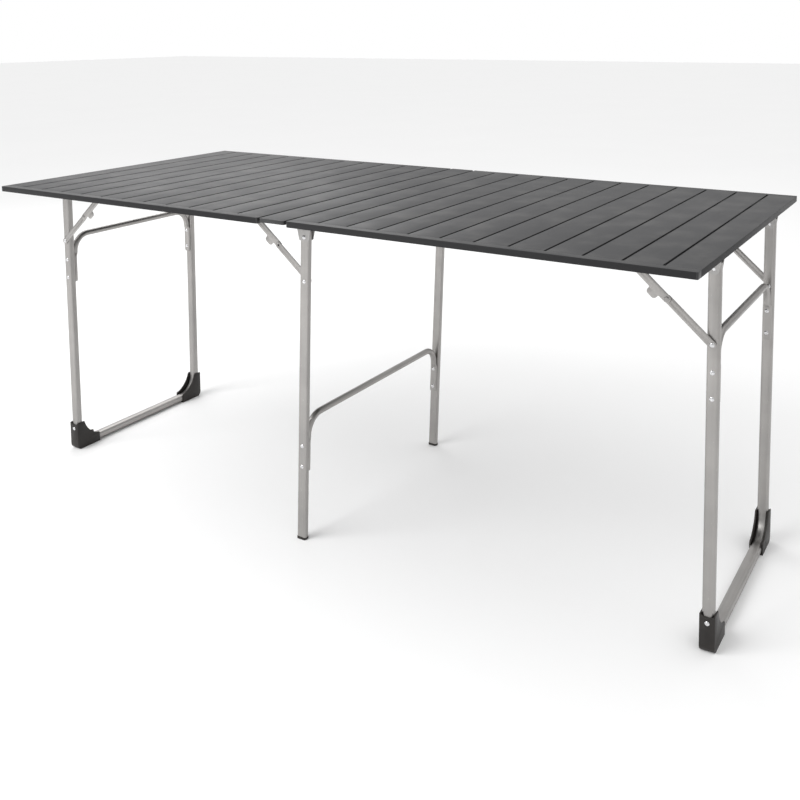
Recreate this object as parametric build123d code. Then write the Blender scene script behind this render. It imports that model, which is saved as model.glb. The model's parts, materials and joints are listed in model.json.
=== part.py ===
from build123d import *
import os
from math import atan2, cos, degrees, hypot, radians, sin

os.makedirs("parts", exist_ok=True)

# Folding table: two slatted panels hinged to a centre spine, a U-shaped leg frame under each
# end, and a pair of straight legs hung from the spine. +X is the long way, +Y is the back,
# the floor is Z = 0. Millimetres. The right-hand half is drawn, and turned about Z for the left.

# ---- Overall -----------------------------------------------------------------------------
table_length = 1760.0
table_depth = 830.0
table_height = 770.0

# ---- Fits --------------------------------------------------------------------------------
running_gap = 0.3            # between neighbours that move past each other
pin_clearance = 0.05         # radial, pin in its hole
seat_clearance = 0.1         # plastic fitting on a tube

# ---- Panels ------------------------------------------------------------------------------
edge_thickness = 13.0        # rails and outer lip, top face to underside
slat_depth = 9.0             # channel slat, top face to lip
extrusion_wall = 1.5
slat_gap = 4.6
slats_per_panel = 12
end_slat_width = 59.6        # the outermost slat, narrower than the others
rail_width = 18.0            # front and back rails
ledge_width = 10.0           # strip of the rail that the slat ends sit on
ledge_thickness = 2.0
edge_bevel = 1.2
slat_bevel = 0.6
lip_width = 4.0              # thick outer lip of the end slat
cap_length = 3.0             # plastic cap on each rail end
cap_corner_radius = 2.4
cap_plug_length = 9.0
stringer_width = 58.0
stringer_setback = 17.0      # stringer's outer edge, inside the middle leg's centre
stringer_end_gap = 6.0

# ---- Spine and hinges --------------------------------------------------------------------
spine_width = 66.0
spine_gap = 5.4              # spine to panel, each side
spine_cap_length = 5.0
hinge_inset = 1.4            # hinge axis, inside the panel's inner edge
hinge_drop = 11.0            # hinge axis, below the panel's underside
hinge_barrel_radius = 4.5
hinge_pin_radius = 2.5
hinge_length = 60.0
hinge_stringer_gap = 5.0     # outer hinge, inside the stringer
hinge_spacing = 88.0         # outer hinge's centre to the inner one's
leaf_thickness = 2.0
leaf_width = 14.0

# ---- Brackets, links and rivets ----------------------------------------------------------
plate_thickness = 2.0
rivet_radius = 2.5
pivot_pin_radius = 3.0
rivet_head_radius = 4.8
rivet_head_height = 1.6
rivet_head_round = 1.0       # rounding of the head's rim
link_width = 15.0
tab_start = 15.0             # thumb tab on the upper link, measured from the knuckle
tab_end = 37.0
tab_reach = 19.5             # from the link's centre line
tab_corner_radius = 6.0
bracket_half_width = 16.0    # brace anchors
leg_bracket_margin = 1.0     # leg bracket's ears, wider than the leg each side
bracket_lobe = 9.0           # bracket metal around a pivot
anchor_foot_width = 14.0     # flange of a brace anchor, beyond its ear

# ---- End leg frames ----------------------------------------------------------------------
leg_end_inset = 19.0         # leg pivot, in from the table's end
leg_pivot_drop = 22.0        # leg pivot, below the panel's underside
leg_lean = 1.2               # degrees, feet outwards
leg_tube_wide = 23.0         # along the table
leg_tube_deep = 19.0         # across the table
leg_tube_radius = 6.0
leg_tube_wall = 1.5
leg_bend_radius = 55.0       # centre line, at the floor corners
leg_top_above_pivot = 11.0
frame_step = 68.0            # end leg's centre, inside the middle leg's centre
sole_thickness = 3.0
boot_wall = 3.0
boot_cheek = 3.4
boot_height = 77.0           # to the ears
boot_dip = 6.0               # hollow in the top edge, between the ears
boot_dip_radius = 19.0
boot_length = 77.0
boot_corner_radius = 14.0
boot_edge_radius = 1.5
boot_rivet_height = 60.0
boot_cheek_depth = 26.0      # cheek width beside the leg, from the boot's outer face
boot_cheek_rise = 27.0       # cheek height over the floor rail

# ---- Crossbars ---------------------------------------------------------------------------
bar_radius = 7.5
bar_wall = 1.2
bar_bend_radius = 45.0
bar_flat_width = 19.0        # flattened arm, along the table
bar_flat_depth = 8.0
bar_flat_radius = 3.5
bar_arm_length = 128.0       # centre line of the run, down to the arm's end
bar_transition = 11.0        # from round tube to flattened arm
bar_first_rivet = 63.0       # below the centre line of the run
bar_rivet_spacing = 49.5
end_bar_height = 607.0
middle_bar_height = 290.0

# ---- Braces ------------------------------------------------------------------------------
leg_brace_arm = 138.0        # end leg's pivot to the brace rivet
lower_link_length = 111.5
middle_brace_arm = 100.0     # middle leg's pivot to the brace rivet
middle_lower_link_length = 108.0
middle_anchor_x = 150.0      # brace anchor under the left panel, from the table's centre

# ---- Middle legs -------------------------------------------------------------------------
middle_leg_edge_inset = 117.0
middle_pivot_drop = 49.0     # below the spine's underside
middle_lean = 2.4            # degrees, feet to the left
middle_tube_wide = 23.0
middle_tube_deep = 13.5
middle_tube_radius = 3.5
middle_tube_wall = 1.4
middle_top_above_pivot = 13.0
middle_bracket_top = 48.0
middle_bracket_trim = 4.0    # cut flat off the rounded bottom
glide_rim_height = 6.0
glide_rim_proud = 0.6
glide_plug_length = 22.0

# ---- Worked out --------------------------------------------------------------------------
top_z = table_height
rail_under_z = top_z - edge_thickness
slat_under_z = top_z - slat_depth
half_length = table_length / 2
half_depth = table_depth / 2
spine_half = spine_width / 2
panel_inner_x = spine_half + spine_gap
slat_half_length = half_depth - rail_width
slat_span = half_length - panel_inner_x - end_slat_width - (slats_per_panel - 1) * slat_gap
slat_width = slat_span / (slats_per_panel - 1)
hinge_x = panel_inner_x - hinge_inset
hinge_z = rail_under_z - hinge_drop

middle_y = half_depth - middle_leg_edge_inset
end_y = middle_y - frame_step
stringer_far = middle_y - stringer_setback
stringer_near = stringer_far - stringer_width
outer_hinge_y = stringer_near - hinge_stringer_gap - hinge_length / 2
hinge_centres = (outer_hinge_y - hinge_spacing, outer_hinge_y)

pivot_x = half_length - leg_end_inset
pivot_z = rail_under_z - leg_pivot_drop
pivot_spacer = plate_thickness + 2 * running_gap
lower_layer = (pivot_spacer, pivot_spacer + plate_thickness)
upper_layer = (lower_layer[1] + running_gap, lower_layer[1] + running_gap + plate_thickness)
ear_layer = (upper_layer[1] + running_gap, upper_layer[1] + running_gap + plate_thickness)

# Each brace lies straight when the table stands. The end braces also fold flat: the panel arm
# is the one that lets both links lie in line when the leg is folded under the panel.
brace_sum = 2 * lower_link_length + leg_brace_arm
opening_angle = radians(90 + leg_lean)
panel_brace_arm = (brace_sum**2 - leg_brace_arm**2) / (
    2 * brace_sum - 2 * leg_brace_arm * cos(opening_angle)
)
anchor_x = pivot_x - panel_brace_arm
leg_rivet_x = pivot_x + leg_brace_arm * sin(radians(leg_lean))
leg_rivet_z = pivot_z - leg_brace_arm * cos(radians(leg_lean))

middle_pivot_z = slat_under_z - middle_pivot_drop
middle_rivet_x = -middle_brace_arm * sin(radians(middle_lean))
middle_rivet_z = middle_pivot_z - middle_brace_arm * cos(radians(middle_lean))


def write(node, *solids):
    """One STEP file per node."""
    export_step(Compound(list(solids)), f"parts/{node}.step")


def block(x, y, z):
    """Box from three (low, high) pairs."""
    size = [pair[1] - pair[0] for pair in (x, y, z)]
    centre = [(pair[1] + pair[0]) / 2 for pair in (x, y, z)]
    return Pos(*centre) * Box(*size)


def turned(solids):
    """The same solids on the left-hand half."""
    return [Rot(0, 0, 180) * solid for solid in solids]


def across(sketch, x, z, y_pair, angle=0.0):
    """A sketch in the XZ plane, turned by an angle and thickened between two Y values."""
    low, high = sorted(y_pair)
    along = (cos(radians(angle)), 0, sin(radians(angle)))
    plane = Plane(origin=(x, high, z), x_dir=along, z_dir=(0, -1, 0))
    return extrude(plane * sketch, amount=high - low)


def pin(x, z, y_pair, radius):
    return across(Circle(radius), x, z, y_pair)


def rivet(x, z, y_pair, radius, head_ends):
    """Shank between two Y values with a domed head at each named end."""
    low, high = sorted(y_pair)
    body = pin(x, z, (low, high), radius)
    for end in head_ends:
        outward = 1 if end == high else -1
        head = pin(x, z, (end, end + outward * rivet_head_height), rivet_head_radius)
        rim = head.faces().sort_by(Axis.Y)[-1 if outward > 0 else 0].edges()
        body += fillet(rim, rivet_head_round)
    return body


def bevelled_top(solid, amount):
    """Bevel the long top edges of a bar that runs along Y."""
    edges = solid.edges().filter_by(Axis.Y).group_by(Axis.Z)[-1]
    return chamfer(edges, amount)


# ---- Top: slats, rails, caps, stringers ----------------------------------------------------
def channel_slat(x_low, x_high, half_run):
    """Extruded slat, open underneath, with a stiffening web down its middle."""
    y = (-half_run, half_run)
    body = bevelled_top(block((x_low, x_high), y, (slat_under_z, top_z)), slat_bevel)
    middle = (x_low + x_high) / 2
    bays = (
        (x_low + extrusion_wall, middle - extrusion_wall / 2),
        (middle + extrusion_wall / 2, x_high - extrusion_wall),
    )
    for bay in bays:
        body -= block(bay, y, (slat_under_z, top_z - extrusion_wall))
    return body


def panel_slats():
    slats = []
    for index in range(slats_per_panel - 1):
        x_low = panel_inner_x + index * (slat_width + slat_gap)
        slats.append(channel_slat(x_low, x_low + slat_width, slat_half_length))
    end_slat = channel_slat(half_length - end_slat_width, half_length, slat_half_length)
    lip = block(
        (half_length - lip_width, half_length),
        (-slat_half_length, slat_half_length),
        (rail_under_z, top_z - extrusion_wall),
    )
    slats.append(end_slat + lip)
    return slats


def rail(side):
    """Box-section rail with a ledge under the slat ends. side is -1 at the front, 1 at the back."""
    x = (panel_inner_x + cap_length, half_length - cap_length)
    y = sorted((side * slat_half_length, side * half_depth))
    body = block(x, y, (rail_under_z, top_z))
    outer_edge = body.edges().filter_by(Axis.X).sort_by(Axis.Y)
    outer_pair = outer_edge[:2] if side < 0 else outer_edge[-2:]
    body = chamfer(outer_pair.sort_by(Axis.Z)[-1], edge_bevel)
    body -= block(
        x,
        (y[0] + extrusion_wall, y[1] - extrusion_wall),
        (rail_under_z + extrusion_wall, top_z - extrusion_wall),
    )
    ledge_y = sorted((side * slat_half_length, side * (slat_half_length - ledge_width)))
    ledge_x = (x[0], x[1] - lip_width)
    body += block(ledge_x, ledge_y, (slat_under_z - ledge_thickness, slat_under_z))
    return body


def rail_cap(side, at_outer_end):
    """Plastic cap that closes a rail end, with a plug inside the rail."""
    x = (panel_inner_x, panel_inner_x + cap_length)
    if at_outer_end:
        x = (half_length - cap_length, half_length)
    y = sorted((side * slat_half_length, side * half_depth))
    plate = block(x, y, (rail_under_z, top_z))
    corners = plate.edges().filter_by(Axis.Z)
    corner = corners.sort_by(Axis.X)[-2:] if at_outer_end else corners.sort_by(Axis.X)[:2]
    corner = corner.sort_by(Axis.Y)[0 if side < 0 else -1]
    plate = fillet(corner, cap_corner_radius)
    inset = extrusion_wall + seat_clearance
    plug_x = (x[0] - cap_plug_length, x[0]) if at_outer_end else (x[1], x[1] + cap_plug_length)
    plug = block(plug_x, (y[0] + inset, y[1] - inset), (rail_under_z + inset, top_z - inset))
    return plate + plug


def stringer(side):
    """Flat bar that ties the slats together and carries the brackets."""
    x = (panel_inner_x + stringer_end_gap, half_length - lip_width - running_gap)
    y = sorted((side * stringer_near, side * stringer_far))
    return block(x, y, (rail_under_z, slat_under_z))


# ---- Hinges ----------------------------------------------------------------------------------
def knuckle(web_x, y_pair, hole_radius):
    """Barrel on a web that comes down from the leaf."""
    web_low, web_high = web_x
    barrel_side = hinge_barrel_radius * 0.6
    web = Polygon(
        (hinge_x - barrel_side, hinge_z + barrel_side),
        (hinge_x + barrel_side, hinge_z + barrel_side),
        (web_high, slat_under_z - leaf_thickness / 2),
        (web_low, slat_under_z - leaf_thickness / 2),
        align=None,
    )
    barrel = Pos(hinge_x, hinge_z) * Circle(hinge_barrel_radius)
    profile = web + barrel - Pos(hinge_x, hinge_z) * Circle(hole_radius)
    return across(profile, 0, 0, y_pair)


def hinge_leaf(centre_y, on_spine):
    """One leaf: a flat flange under a slat, and its share of the knuckles."""
    half = hinge_length / 2
    third = hinge_length / 3
    low, high = centre_y - half, centre_y + half
    if on_spine:
        flange_x = (spine_half - leaf_width, spine_half)
        web_x = (spine_half - leaf_thickness, spine_half)
        spans = ((low, low + third - running_gap), (high - third + running_gap, high))
        hole = hinge_pin_radius
    else:
        flange_x = (panel_inner_x, panel_inner_x + leaf_width)
        web_x = (panel_inner_x, panel_inner_x + leaf_thickness)
        spans = ((low + third, high - third),)
        hole = hinge_pin_radius + pin_clearance
    leaf = block(flange_x, (low, high), (slat_under_z - leaf_thickness, slat_under_z))
    for span in spans:
        leaf += knuckle(web_x, span, hole)
    return leaf


def hinge_pin(centre_y):
    half = hinge_length / 2
    return pin(hinge_x, hinge_z, (centre_y - half, centre_y + half), hinge_pin_radius)


hinge_ys = [side * centre for centre in hinge_centres for side in (-1, 1)]


# ---- Links, anchors and leg brackets -----------------------------------------------------------
def link_face(length):
    """Flat link from its first pivot at the origin to its second on +u."""
    return Pos(length / 2, 0) * SlotCenterToCenter(length, link_width)


def lower_link(start, angle, length, face_y, outward):
    """Link on the leg: a hole at the leg rivet and a hole at the knuckle."""
    profile = link_face(length)
    profile -= Circle(rivet_radius + pin_clearance)
    profile -= Pos(length, 0) * Circle(rivet_radius + pin_clearance)
    layer = [face_y + outward * offset for offset in lower_layer]
    return across(profile, start[0], start[1], layer, angle)


def upper_link(knuckle_point, angle, length, face_y, outward):
    """Link under the panel, with the thumb tab and the knuckle rivet's head."""
    tab = RectangleRounded(tab_end - tab_start, tab_reach + tab_corner_radius, tab_corner_radius)
    tab_middle = (tab_reach - tab_corner_radius) / 2
    profile = link_face(length) + Pos((tab_start + tab_end) / 2, tab_middle) * tab
    profile -= Pos(length, 0) * Circle(rivet_radius + pin_clearance)
    layer = [face_y + outward * offset for offset in upper_layer]
    plate = across(profile, knuckle_point[0], knuckle_point[1], layer, angle)
    head = (layer[1], layer[1] + outward * rivet_head_height)
    dome = pin(knuckle_point[0], knuckle_point[1], head, rivet_head_radius)
    rim = dome.faces().sort_by(Axis.Y)[-1 if outward > 0 else 0].edges()
    return plate + fillet(rim, rivet_head_round)


def tapered_ear(pivot_drop, half_width, lobe):
    """Ear that hangs from z = 0 and closes round a pivot pivot_drop below."""
    corners = [(-lobe, -pivot_drop), (lobe, -pivot_drop), (half_width, 0), (-half_width, 0)]
    return Polygon(*corners, align=None) + Pos(0, -pivot_drop) * Circle(lobe)


def anchor(x, face_y, outward):
    """Angle plate under a stringer that holds the upper link's top end."""
    near, far = [face_y + outward * offset for offset in ear_layer]
    ear = tapered_ear(leg_pivot_drop, bracket_half_width, bracket_lobe)
    ear -= Pos(0, -leg_pivot_drop) * Circle(rivet_radius)
    plate = across(ear, x, rail_under_z, (near, far))
    foot_y = sorted((near, far + outward * anchor_foot_width))
    foot_x = (x - bracket_half_width, x + bracket_half_width)
    return plate + block(foot_x, foot_y, (rail_under_z - plate_thickness, rail_under_z))


def anchor_rivet(x, face_y, outward):
    """Rivet through an anchor and its link, flush on the side of the lower link."""
    inner = face_y + outward * upper_layer[0]
    outer = face_y + outward * ear_layer[1]
    return rivet(x, pivot_z, (inner, outer), rivet_radius, (outer,))


def leg_bracket(side):
    """U-bracket over the top of an end leg, with a pivot hole in each ear."""
    half_inside = leg_tube_deep / 2 + running_gap
    half_outside = half_inside + plate_thickness
    half_width = leg_tube_wide / 2 + leg_bracket_margin
    ear = tapered_ear(leg_pivot_drop, half_width, bracket_lobe)
    ear -= Pos(0, -leg_pivot_drop) * Circle(pivot_pin_radius)
    outside = (side * end_y - half_outside, side * end_y + half_outside)
    body = across(ear, pivot_x, rail_under_z, outside)
    body -= block(
        (pivot_x - half_width, pivot_x + half_width),
        (side * end_y - half_inside, side * end_y + half_inside),
        (pivot_z - 2 * bracket_lobe, rail_under_z - plate_thickness),
    )
    return body


def leg_pivot(side):
    """Pivot pin in a leg bracket, flush with both ears."""
    half_outside = leg_tube_deep / 2 + running_gap + plate_thickness
    ends = (side * end_y - half_outside, side * end_y + half_outside)
    return pin(pivot_x, pivot_z, ends, pivot_pin_radius)


# ---- End leg frames ------------------------------------------------------------------------------
# Each frame is drawn upright with its pivot axis through the origin, then leaned and moved.
frame_drop = pivot_z / cos(radians(leg_lean))
rail_z = -frame_drop + sole_thickness + leg_tube_deep / 2


def placed_frame(solid):
    return Pos(pivot_x, 0, pivot_z) * Rot(0, -leg_lean, 0) * solid


def u_path():
    return FilletPolyline(
        (0, -end_y, leg_top_above_pivot),
        (0, -end_y, rail_z),
        (0, end_y, rail_z),
        (0, end_y, leg_top_above_pivot),
        radius=leg_bend_radius,
    )


def swept_tube(path, wide, deep, radius, start):
    """Section swept down from a point on the left-hand arm; wide is along X."""
    plane = Plane(origin=start, x_dir=(1, 0, 0), z_dir=(0, 0, -1))
    return sweep(plane * RectangleRounded(wide, deep, radius), path=path)


def leg_tube():
    """Legs and floor rail in one bent tube."""
    start = (0, -end_y, leg_top_above_pivot)
    inner = [size - 2 * leg_tube_wall for size in (leg_tube_wide, leg_tube_deep)]
    body = swept_tube(u_path(), leg_tube_wide, leg_tube_deep, leg_tube_radius, start)
    body -= swept_tube(u_path(), inner[0], inner[1], leg_tube_radius - leg_tube_wall, start)
    through = (-end_y - leg_tube_deep, end_y + leg_tube_deep)
    body -= pin(0, 0, through, pivot_pin_radius + pin_clearance)
    for side in (-1, 1):
        leg = (side * end_y - leg_tube_deep, side * end_y + leg_tube_deep)
        body -= pin(0, -leg_brace_arm, leg, rivet_radius)
        for drop in bar_rivet_drops(pivot_z - end_bar_height):
            body -= pin(0, -drop, leg, rivet_radius)
    return body


def bar_rivet_drops(run_drop):
    """Distances below the pivot of the two rivets in a crossbar arm."""
    first = run_drop + bar_first_rivet
    return (first, first + bar_rivet_spacing)


def crossbar(leg_y, leg_deep, run_z):
    """Bent round tube whose flattened arms lie against the legs' inner faces."""
    face_y = leg_y - leg_deep / 2
    arm_y = face_y - bar_radius
    flat_y = face_y - bar_flat_depth / 2
    round_end_z = run_z - bar_bend_radius - 1.0
    flat_start_z = round_end_z - bar_transition
    flat_end_z = run_z - bar_arm_length
    path = FilletPolyline(
        (0, -arm_y, round_end_z),
        (0, -arm_y, run_z),
        (0, arm_y, run_z),
        (0, arm_y, round_end_z),
        radius=bar_bend_radius,
    )
    start = Plane(origin=(0, -arm_y, round_end_z), x_dir=(1, 0, 0), z_dir=(0, 0, 1))
    body = sweep(start * Circle(bar_radius), path=path)
    body -= sweep(start * Circle(bar_radius - bar_wall), path=path)
    flat = RectangleRounded(bar_flat_width, bar_flat_depth, bar_flat_radius)
    for side in (-1, 1):
        ring = Plane(origin=(0, side * arm_y, round_end_z), z_dir=(0, 0, -1)) * Circle(bar_radius)
        pressed = Plane(origin=(0, side * flat_y, flat_start_z), z_dir=(0, 0, -1)) * flat
        arm = loft([ring, pressed]) + extrude(pressed, amount=flat_start_z - flat_end_z)
        tip = arm.edges().filter_by(Axis.Y).group_by(Axis.Z)[0]
        arm = fillet(tip, bar_flat_radius)
        through = (side * face_y, side * (face_y - 2 * bar_flat_depth))
        for drop in bar_rivet_drops(-run_z):
            arm -= pin(0, -drop, through, rivet_radius)
        body += arm
    return body


def floor_corner(offset):
    """Outline of the frame's inside and tube at one floor corner, grown by an offset."""
    outer = leg_tube_deep / 2 + offset
    corner = leg_bend_radius + outer
    width = 2 * (end_y + outer)
    height = boot_height * 3
    body = Pos(0, rail_z - outer + height / 2) * Rectangle(width, height)
    low_corners = body.vertices().group_by(Axis.Y)[0]
    return fillet(low_corners, corner)


def boot(side):
    """Moulded corner shoe: a channel over the bend, open towards the inside of the frame."""
    outer_y = end_y + leg_tube_deep / 2 + boot_wall
    sole_z = -frame_drop - leg_tube_wide * sin(radians(leg_lean))
    with BuildSketch(Plane.YZ) as outline:
        with BuildLine():
            Polyline(
                (outer_y - boot_cheek_depth, -frame_drop + boot_height),
                (outer_y, -frame_drop + boot_height),
                (outer_y, sole_z),
                (outer_y - boot_length, sole_z),
                (outer_y - boot_length, -frame_drop + boot_cheek_rise),
            )
            RadiusArc(
                (outer_y - boot_length, -frame_drop + boot_cheek_rise),
                (outer_y - boot_cheek_depth, -frame_drop + boot_height),
                -(boot_height + boot_length) / 2,
            )
        make_face()
        fillet(outline.vertices().sort_by(Axis.X)[-2:].sort_by(Axis.Y)[0], boot_corner_radius)
    half = leg_tube_wide / 2 + boot_cheek
    body = extrude(outline.sketch, amount=half, both=True)
    body = fillet(body.edges().filter_by(Axis.X).group_by(Axis.Z)[-1], boot_edge_radius)
    half_inside = leg_tube_wide / 2 + seat_clearance
    body -= extrude(Plane.YZ * floor_corner(seat_clearance), amount=half_inside, both=True)
    dip_z = -frame_drop + boot_height - boot_dip + boot_dip_radius
    body -= pin(0, dip_z, (0, 2 * end_y), boot_dip_radius)
    body -= pin(0, -frame_drop + boot_rivet_height, (0, 2 * end_y), rivet_radius)
    return body if side > 0 else Rot(0, 0, 180) * body


def frame_rivets(run_drop):
    """Rivets of the crossbar arms, the brace rivets with their spacers, and the boot rivets."""
    face = end_y + leg_tube_deep / 2
    rivets = []
    for side in (-1, 1):
        inner = side * (end_y - leg_tube_deep / 2 - bar_flat_depth)
        for drop in bar_rivet_drops(run_drop):
            rivets.append(rivet(0, -drop, (inner, side * face), rivet_radius, (inner, side * face)))
        link_outside = side * (face + lower_layer[1] + running_gap / 2)
        inside = side * (end_y - leg_tube_deep / 2)
        brace = rivet(0, -leg_brace_arm, (inside, link_outside), rivet_radius, (inside, link_outside))
        spacer = pin(0, -leg_brace_arm, (side * face, side * (face + pivot_spacer)), rivet_head_radius)
        rivets.append(brace + spacer)
        boot_face = side * (face + boot_wall)
        head = rivet(
            0,
            -frame_drop + boot_rivet_height,
            (side * (face + seat_clearance), boot_face),
            rivet_radius,
            (boot_face,),
        )
        rivets.append(head)
    return rivets


def on_the_floor(solid):
    """Trim a sole level with the floor."""
    reach = 2 * table_length
    return solid - block((-reach, reach), (-reach, reach), (-reach, 0))


# ---- Middle legs -----------------------------------------------------------------------------------
def placed_middle(solid):
    return Pos(0, 0, middle_pivot_z) * Rot(0, middle_lean, 0) * solid


middle_drop = middle_pivot_z / cos(radians(middle_lean))
glide_top = -middle_drop + glide_rim_height


def middle_leg(side):
    """Straight tube of one middle leg."""
    height = middle_top_above_pivot - glide_top
    plane = Plane(origin=(0, side * middle_y, glide_top))
    inner = [size - 2 * middle_tube_wall for size in (middle_tube_wide, middle_tube_deep)]
    outside = RectangleRounded(middle_tube_wide, middle_tube_deep, middle_tube_radius)
    hollow = RectangleRounded(inner[0], inner[1], middle_tube_radius - middle_tube_wall)
    body = extrude(plane * outside, height) - extrude(plane * hollow, height)
    through = (side * middle_y - middle_tube_deep, side * middle_y + middle_tube_deep)
    body -= pin(0, 0, through, pivot_pin_radius + pin_clearance)
    drops = (middle_brace_arm, *bar_rivet_drops(middle_pivot_z - middle_bar_height))
    for drop in drops:
        body -= pin(0, -drop, through, rivet_radius)
    return body


def glide(side):
    """Plastic foot: a rim under the tube and a plug inside it."""
    rim_size = [size + 2 * glide_rim_proud for size in (middle_tube_wide, middle_tube_deep)]
    inset = 2 * (middle_tube_wall + seat_clearance)
    plug_size = [size - inset for size in (middle_tube_wide, middle_tube_deep)]
    plug_radius = middle_tube_radius - middle_tube_wall
    low = glide_top - 2 * glide_rim_height
    rim = Plane(origin=(0, side * middle_y, low)) * RectangleRounded(*rim_size, middle_tube_radius)
    plug = Plane(origin=(0, side * middle_y, glide_top)) * RectangleRounded(*plug_size, plug_radius)
    return extrude(rim, glide_top - low) + extrude(plug, glide_plug_length)


def middle_bracket(side):
    """Tapered U-bracket under the spine, either side of a middle leg."""
    half_inside = middle_tube_deep / 2 + running_gap
    half_outside = half_inside + plate_thickness
    ear = tapered_ear(middle_pivot_drop, middle_bracket_top / 2, middle_tube_wide / 2 + 1.0)
    bottom = -middle_pivot_drop - middle_tube_wide / 2
    ear -= Pos(0, bottom) * Rectangle(middle_bracket_top, 2 * middle_bracket_trim)
    ear -= Pos(0, -middle_pivot_drop) * Circle(pivot_pin_radius)
    ends = (side * middle_y - half_outside, side * middle_y + half_outside)
    body = across(ear, 0, slat_under_z, ends)
    body -= block(
        (-middle_bracket_top, middle_bracket_top),
        (side * middle_y - half_inside, side * middle_y + half_inside),
        (middle_pivot_z - middle_tube_wide, slat_under_z - plate_thickness),
    )
    return body


def middle_pivot(side):
    half_outside = middle_tube_deep / 2 + running_gap + plate_thickness
    ends = (side * middle_y - half_outside, side * middle_y + half_outside)
    return rivet(0, middle_pivot_z, ends, pivot_pin_radius, (side * middle_y + side * half_outside,))


def middle_rivets():
    """Crossbar rivets, and the brace rivets with their spacers, of both middle legs."""
    rivets = []
    for side in (-1, 1):
        outer = side * (middle_y + middle_tube_deep / 2)
        inner_face = middle_y - middle_tube_deep / 2
        arm_inside = side * (inner_face - bar_flat_depth)
        for drop in bar_rivet_drops(middle_pivot_z - middle_bar_height):
            rivets.append(rivet(0, -drop, (arm_inside, outer), rivet_radius, (arm_inside, outer)))
        link_inside = side * (inner_face - lower_layer[1] - running_gap / 2)
        brace = rivet(0, -middle_brace_arm, (link_inside, outer), rivet_radius, (link_inside, outer))
        spacer_end = side * (inner_face - pivot_spacer)
        spacer = pin(0, -middle_brace_arm, (side * inner_face, spacer_end), rivet_head_radius)
        rivets.append(brace + spacer)
    return rivets


# ---- Spine ---------------------------------------------------------------------------------------
def spine_cap(side):
    """Rounded plastic end of the spine, plugged into the slat."""
    y = sorted((side * (half_depth - spine_cap_length), side * half_depth))
    plate = block((-spine_half, spine_half), y, (slat_under_z, top_z))
    outer = plate.faces().sort_by(Axis.Y)[0 if side < 0 else -1]
    plate = fillet(outer.edges().filter_by(Axis.Z), spine_cap_length * 0.8)
    inset = extrusion_wall + seat_clearance
    plug_y = sorted((side * (half_depth - spine_cap_length), side * (half_depth - 3 * spine_cap_length)))
    for x in ((-spine_half + inset, -inset), (inset, spine_half - inset)):
        plate += block(x, plug_y, (slat_under_z, top_z - inset))
    return plate


# ---- Brace layout ----------------------------------------------------------------------------------
def brace_line(leg_point, anchor_point, lower_length):
    """Angle of the straight brace, its knuckle point and the upper link's length."""
    dx = anchor_point[0] - leg_point[0]
    dz = anchor_point[1] - leg_point[1]
    total = hypot(dx, dz)
    knuckle_point = (
        leg_point[0] + dx * lower_length / total,
        leg_point[1] + dz * lower_length / total,
    )
    return degrees(atan2(dz, dx)), knuckle_point, total - lower_length


def brace_links(leg_point, anchor_point, lower_length, face_y, outward):
    """Front and back pairs of links; outward is 1 when they lie outside the legs."""
    angle, knuckle_point, upper_length = brace_line(leg_point, anchor_point, lower_length)
    lowers = []
    uppers = []
    for side in (-1, 1):
        face = side * face_y
        lowers.append(lower_link(leg_point, angle, lower_length, face, side * outward))
        uppers.append(upper_link(knuckle_point, angle, upper_length, face, side * outward))
    return lowers, uppers


# ---- Build ---------------------------------------------------------------------------------------
sides = (-1, 1)
end_face = end_y + leg_tube_deep / 2
middle_face = middle_y - middle_tube_deep / 2

write("spine_slat", channel_slat(-spine_half, spine_half, half_depth - spine_cap_length))
write("spine_end_caps", *[spine_cap(side) for side in sides])
spine_leaves = [hinge_leaf(y, True) for y in hinge_ys]
write("spine_hinge_leaves", *spine_leaves, *turned(spine_leaves))
hinge_pins = [hinge_pin(y) for y in hinge_ys]
middle_pivots = [middle_pivot(side) for side in sides]
write("spine_pins", *hinge_pins, *turned(hinge_pins), *middle_pivots)
write("middle_leg_brackets", *[middle_bracket(side) for side in sides])

slats = panel_slats()
rails = [rail(side) for side in sides]
caps = [rail_cap(side, outer) for side in sides for outer in (False, True)]
stringers = [stringer(side) for side in sides]
panel_leaves = [hinge_leaf(y, False) for y in hinge_ys]
brackets = [leg_bracket(side) for side in sides]
brackets += [anchor(anchor_x, side * end_face, side) for side in sides]
panel_rivets = [leg_pivot(side) for side in sides]
panel_rivets += [anchor_rivet(anchor_x, side * end_face, side) for side in sides]

run_drop = pivot_z - end_bar_height
tube = placed_frame(leg_tube())
bar = placed_frame(crossbar(end_y, leg_tube_deep, -run_drop))
boots = [on_the_floor(placed_frame(boot(side))) for side in sides]
leg_rivets = [placed_frame(solid) for solid in frame_rivets(run_drop)]
lower_links, upper_links = brace_links(
    (leg_rivet_x, leg_rivet_z), (anchor_x, pivot_z), lower_link_length, end_face, 1
)

# The left panel also anchors the braces of the middle legs.
middle_anchors = [anchor(-middle_anchor_x, side * middle_face, -side) for side in sides]
middle_anchor_rivets = [anchor_rivet(-middle_anchor_x, side * middle_face, -side) for side in sides]

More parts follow.
